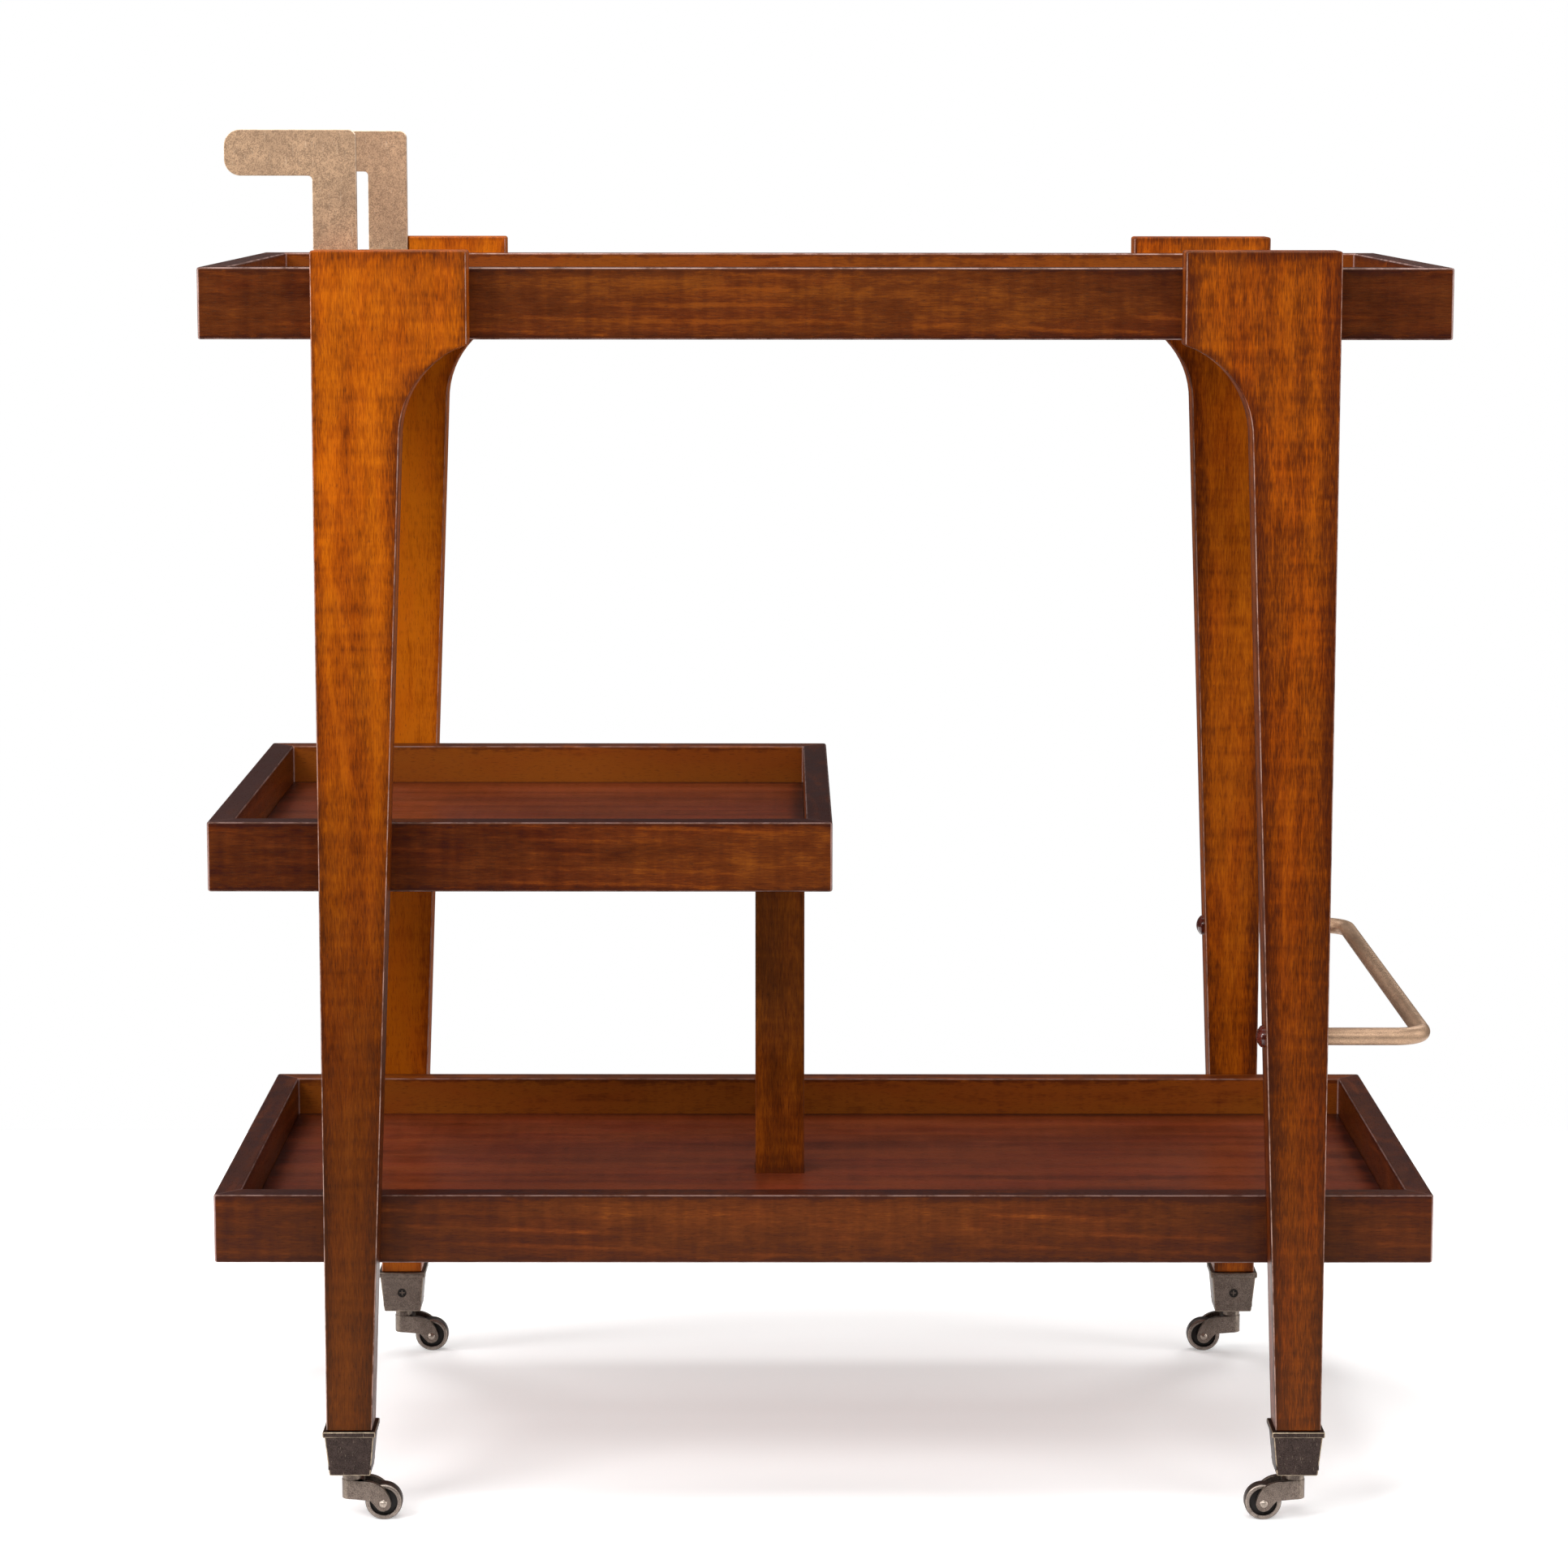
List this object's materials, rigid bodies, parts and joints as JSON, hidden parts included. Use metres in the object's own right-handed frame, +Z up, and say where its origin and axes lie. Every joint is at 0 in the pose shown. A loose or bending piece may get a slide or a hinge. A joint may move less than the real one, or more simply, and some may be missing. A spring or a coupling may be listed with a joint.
{
  "type": "serving trolley",
  "caption": "Three-tier wooden serving trolley: tapered legs, mitred trays, brass push handle, towel rail at one end and small swivel casters.",
  "frame": {"origin": "on the floor, under the middle of the trolley", "axes": "+X along the trolley to the towel-rail end, +Y across to the back, +Z up; the push handle is at the -X end"},
  "size_m": [0.85, 0.4728, 0.961],
  "materials": {
    "leg_wood": "warm amber stain, semi-gloss lacquer",
    "post_wood": "warm amber stain, semi-gloss lacquer",
    "dowel_wood": "bare beech",
    "rail_wood": "dark red-brown stain, semi-gloss lacquer",
    "floor_wood": "red-brown veneer, semi-gloss lacquer",
    "handle_brass": "antique brass, matte speckled",
    "rod_brass": "antique brass, satin",
    "bolt_lacquer": "dark red-brown gloss lacquer",
    "caster_cast": "antique pewter, mottled",
    "wheel_metal": "antique pewter, dark web",
    "axle_steel": "antique plated steel",
    "dark_screw": "dark oxide",
    "wood_screw_steel": "zinc plated"
  },
  "bodies": {
    "cart": {"caster_cup_front_left": "caster_cast", "caster_cup_front_right": "caster_cast", "caster_cup_rear_left": "caster_cast", "caster_cup_rear_right": "caster_cast", "caster_cup_screws": "dark_screw", "handle_plate_front": "handle_brass", "handle_plate_rear": "handle_brass", "handle_plate_screws": "wood_screw_steel", "leg_front_left": "leg_wood", "leg_front_right": "leg_wood", "leg_rear_left": "leg_wood", "leg_rear_right": "leg_wood", "lower_tray_floor": "floor_wood", "lower_tray_front_rail": "rail_wood", "lower_tray_left_rail": "rail_wood", "lower_tray_rear_rail": "rail_wood", "lower_tray_right_rail": "rail_wood", "lower_tray_screws": "wood_screw_steel", "middle_tray_floor": "floor_wood", "middle_tray_front_rail": "rail_wood", "middle_tray_left_rail": "rail_wood", "middle_tray_rear_rail": "rail_wood", "middle_tray_right_rail": "rail_wood", "middle_tray_screws": "wood_screw_steel", "post_dowels": "dowel_wood", "post_screws": "wood_screw_steel", "push_bar": "handle_brass", "support_post": "post_wood", "top_tray_floor": "floor_wood", "top_tray_front_rail": "rail_wood", "top_tray_left_rail": "rail_wood", "top_tray_rear_rail": "rail_wood", "top_tray_right_rail": "rail_wood", "top_tray_screws": "wood_screw_steel", "towel_rail": "rod_brass", "towel_rail_bolts": "bolt_lacquer"},
    "swivel_front_left": {"caster_axle_front_left": "axle_steel", "caster_clip_front_left": "axle_steel", "caster_fork_front_left": "caster_cast"},
    "swivel_front_right": {"caster_axle_front_right": "axle_steel", "caster_clip_front_right": "axle_steel", "caster_fork_front_right": "caster_cast"},
    "swivel_rear_left": {"caster_axle_rear_left": "axle_steel", "caster_clip_rear_left": "axle_steel", "caster_fork_rear_left": "caster_cast"},
    "swivel_rear_right": {"caster_axle_rear_right": "axle_steel", "caster_clip_rear_right": "axle_steel", "caster_fork_rear_right": "caster_cast"},
    "wheel_front_left": {"caster_wheel_front_left": "wheel_metal"},
    "wheel_front_right": {"caster_wheel_front_right": "wheel_metal"},
    "wheel_rear_left": {"caster_wheel_rear_left": "wheel_metal"},
    "wheel_rear_right": {"caster_wheel_rear_right": "wheel_metal"}
  },
  "joints": [
    {"name": "swivel_front_left", "type": "hinge", "parent": "cart", "child": "swivel_front_left", "pos_m": [-0.3295, -0.218, 0.029], "axis": [0, 0, 1], "continuous": true},
    {"name": "roll_front_left", "type": "hinge", "parent": "swivel_front_left", "child": "wheel_front_left", "pos_m": [-0.3071, -0.218, 0.013], "axis": [0, 1, 0], "continuous": true},
    {"name": "swivel_front_right", "type": "hinge", "parent": "cart", "child": "swivel_front_right", "pos_m": [0.3295, -0.218, 0.029], "axis": [0, 0, 1], "continuous": true},
    {"name": "roll_front_right", "type": "hinge", "parent": "swivel_front_right", "child": "wheel_front_right", "pos_m": [0.3071, -0.218, 0.013], "axis": [0, 1, 0], "continuous": true},
    {"name": "swivel_rear_left", "type": "hinge", "parent": "cart", "child": "swivel_rear_left", "pos_m": [-0.3295, 0.218, 0.029], "axis": [0, 0, 1], "continuous": true},
    {"name": "roll_rear_left", "type": "hinge", "parent": "swivel_rear_left", "child": "wheel_rear_left", "pos_m": [-0.3071, 0.218, 0.013], "axis": [0, 1, 0], "continuous": true},
    {"name": "swivel_rear_right", "type": "hinge", "parent": "cart", "child": "swivel_rear_right", "pos_m": [0.3295, 0.218, 0.029], "axis": [0, 0, 1], "continuous": true},
    {"name": "roll_rear_right", "type": "hinge", "parent": "swivel_rear_right", "child": "wheel_rear_right", "pos_m": [0.3071, 0.218, 0.013], "axis": [0, 1, 0], "continuous": true}
  ]
}
